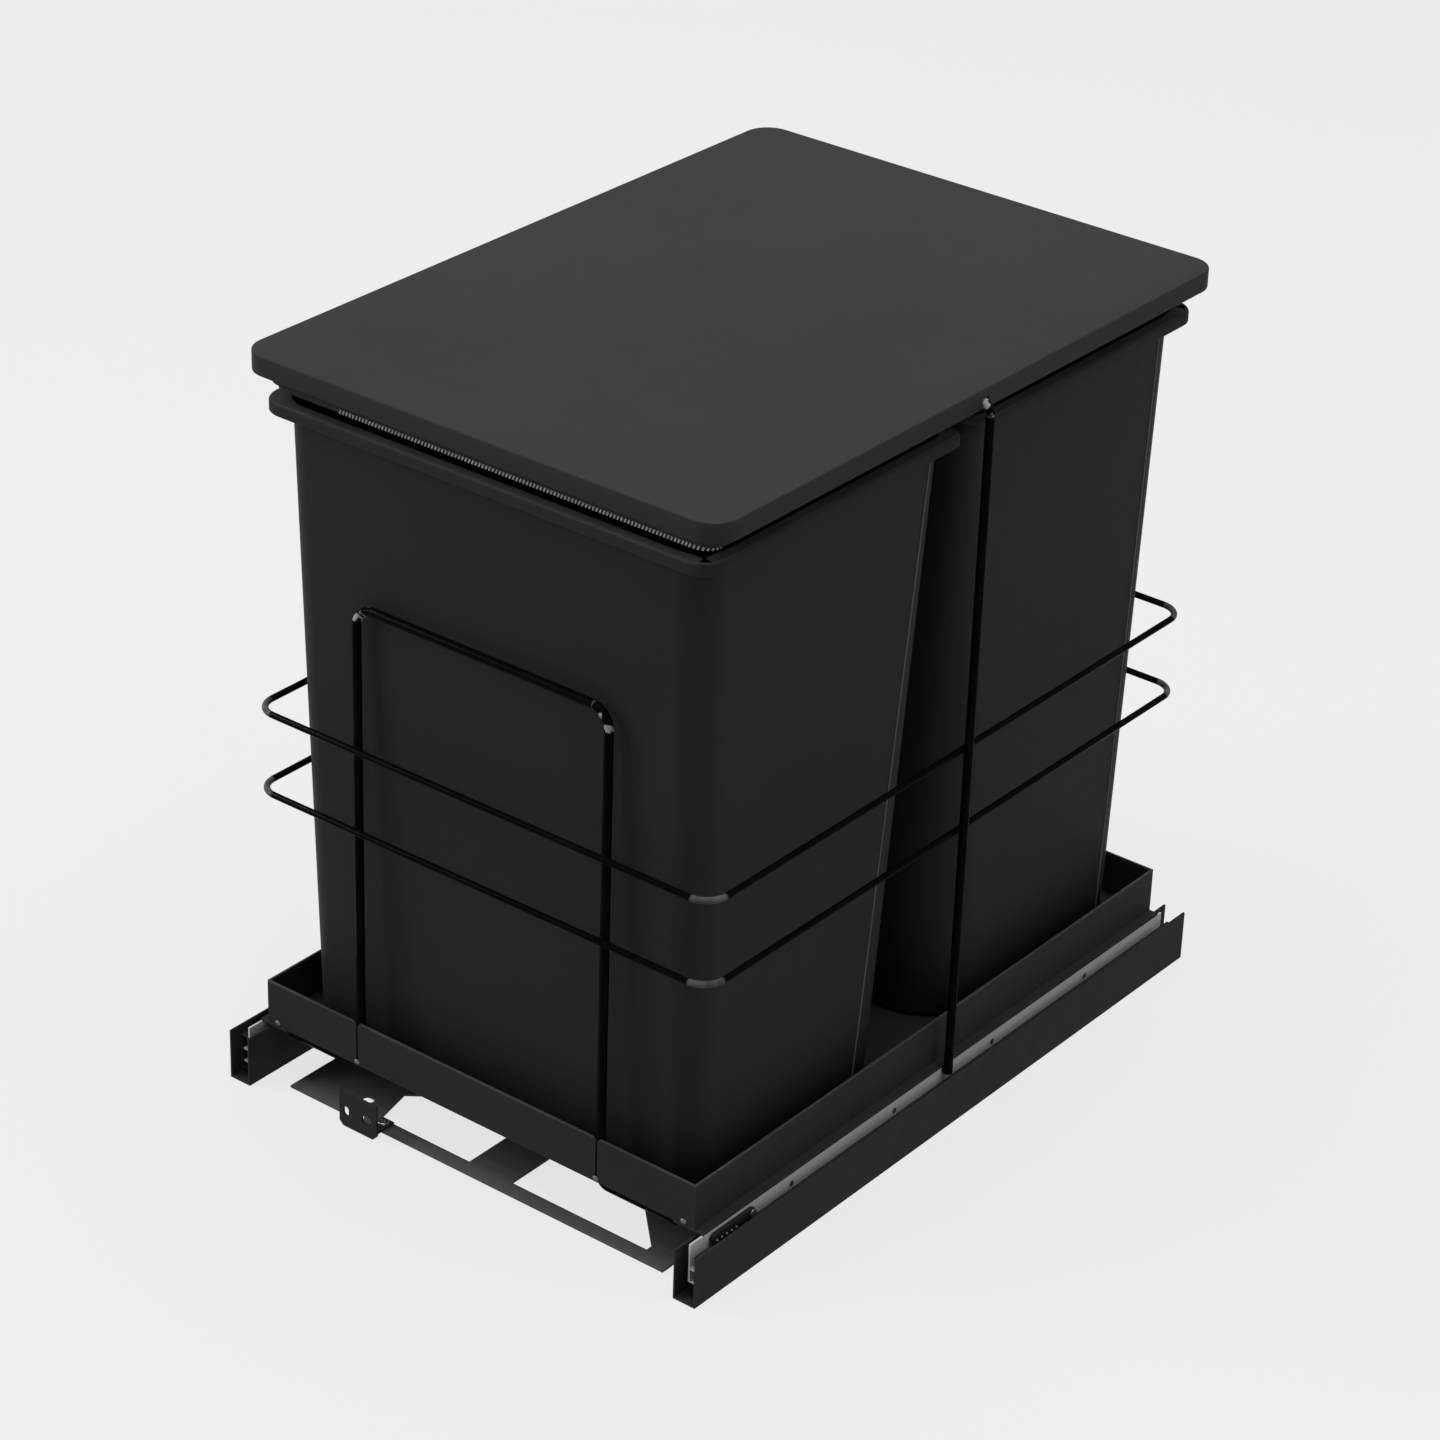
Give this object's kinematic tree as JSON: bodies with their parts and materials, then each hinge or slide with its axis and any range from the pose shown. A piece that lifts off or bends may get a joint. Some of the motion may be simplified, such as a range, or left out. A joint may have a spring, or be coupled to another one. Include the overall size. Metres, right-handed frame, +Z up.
{
  "type": "pull out trash cabinet",
  "caption": "Pull out waste bin unit: lidded tapered bins stand in a sheet tray with a wire basket that slides out of a base cabinet on floor mounted ball runners.",
  "frame": {"origin": "middle of the footprint, on the cabinet floor", "axes": "+X across the unit, +Y from the front towards the back of the cabinet, +Z up"},
  "size_m": [0.362, 0.5, 0.4818],
  "materials": {
    "rail": "satin powder coat",
    "runner": "zinc plated steel",
    "fastener": "zinc plated steel",
    "ball": "polished steel",
    "cage": "stamped strip",
    "plate": "satin powder coat",
    "bumper": "matt",
    "tray": "satin powder coat",
    "wire": "gloss powder coat",
    "lever": "moulded",
    "bin": "fine moulded grain",
    "lid": "fine moulded grain, satin",
    "seal": "ribbed soft strip"
  },
  "bodies": {
    "floor_frame": {"rail_left": "rail", "rail_right": "rail", "cabinet_member_left": "runner", "cabinet_member_right": "runner", "member_rivets": "fastener", "base_plate": "plate", "ear_rivets": "fastener", "front_bracket": "plate", "bracket_screw": "fastener", "rear_bumpers": "bumper"},
    "carriage": {"drawer_member_left": "runner", "drawer_member_right": "runner", "tray_angle_left": "tray", "tray_angle_right": "tray", "angle_rivets": "fastener", "tray": "tray", "tray_screws": "fastener", "tray_nuts": "fastener", "front_hoop": "wire", "rear_hoop": "wire", "tall_hoop": "wire", "upper_loop": "wire", "lower_loop": "wire", "lever_pins": "fastener"},
    "outer_cage_left": {"outer_cage_left": "cage", "outer_balls_left": "ball"},
    "middle_left": {"middle_member_left": "runner"},
    "inner_cage_left": {"inner_cage_left": "cage", "inner_balls_left": "ball"},
    "lever_left": {"release_lever_left": "lever"},
    "outer_cage_right": {"outer_cage_right": "cage", "outer_balls_right": "ball"},
    "middle_right": {"middle_member_right": "runner"},
    "inner_cage_right": {"inner_cage_right": "cage", "inner_balls_right": "ball"},
    "lever_right": {"release_lever_right": "lever"},
    "front_bin": {"bin_front": "bin"},
    "rear_bin": {"bin_rear": "bin"},
    "lid": {"lid": "lid", "seal_front": "seal", "seal_rear": "seal"}
  },
  "joints": [
    {"name": "carriage_slide", "type": "slide", "parent": "floor_frame", "child": "carriage", "axis": [0, -1, 0], "range_m": [0, 0.45]},
    {"name": "outer_cage_left_slide", "type": "slide", "parent": "floor_frame", "child": "outer_cage_left", "axis": [0, -1, 0], "range_m": [0, 0.1125]},
    {"name": "middle_left_slide", "type": "slide", "parent": "floor_frame", "child": "middle_left", "axis": [0, -1, 0], "range_m": [0, 0.225]},
    {"name": "inner_cage_left_slide", "type": "slide", "parent": "floor_frame", "child": "inner_cage_left", "axis": [0, -1, 0], "range_m": [0, 0.3375]},
    {"name": "lever_left_pivot", "type": "hinge", "parent": "carriage", "child": "lever_left", "pos_m": [-0.1732, -0.1903, 0.0312], "axis": [1, 0, 0], "range_deg": [-8, 0], "stiffness_Nm_per_rad": 0.05, "springref_deg": 2.86},
    {"name": "outer_cage_right_slide", "type": "slide", "parent": "floor_frame", "child": "outer_cage_right", "axis": [0, -1, 0], "range_m": [0, 0.1125]},
    {"name": "middle_right_slide", "type": "slide", "parent": "floor_frame", "child": "middle_right", "axis": [0, -1, 0], "range_m": [0, 0.225]},
    {"name": "inner_cage_right_slide", "type": "slide", "parent": "floor_frame", "child": "inner_cage_right", "axis": [0, -1, 0], "range_m": [0, 0.3375]},
    {"name": "lever_right_pivot", "type": "hinge", "parent": "carriage", "child": "lever_right", "pos_m": [0.1732, -0.1903, 0.0312], "axis": [1, 0, 0], "range_deg": [-8, 0], "stiffness_Nm_per_rad": 0.05, "springref_deg": 2.86},
    {"name": "front_bin_lift", "type": "slide", "parent": "carriage", "child": "front_bin", "axis": [0, 0, 1], "range_m": [0, 0.004]},
    {"name": "rear_bin_lift", "type": "slide", "parent": "carriage", "child": "rear_bin", "axis": [0, 0, 1], "range_m": [0, 0.004]},
    {"name": "lid_lift", "type": "slide", "parent": "carriage", "child": "lid", "axis": [0, 0, 1], "range_m": [0, 0.3]}
  ],
  "couplings": [
    {"joint": "outer_cage_left_slide", "follows": "carriage_slide", "ratio": 0.25},
    {"joint": "middle_left_slide", "follows": "carriage_slide", "ratio": 0.5},
    {"joint": "inner_cage_left_slide", "follows": "carriage_slide", "ratio": 0.75},
    {"joint": "outer_cage_right_slide", "follows": "carriage_slide", "ratio": 0.25},
    {"joint": "middle_right_slide", "follows": "carriage_slide", "ratio": 0.5},
    {"joint": "inner_cage_right_slide", "follows": "carriage_slide", "ratio": 0.75}
  ]
}
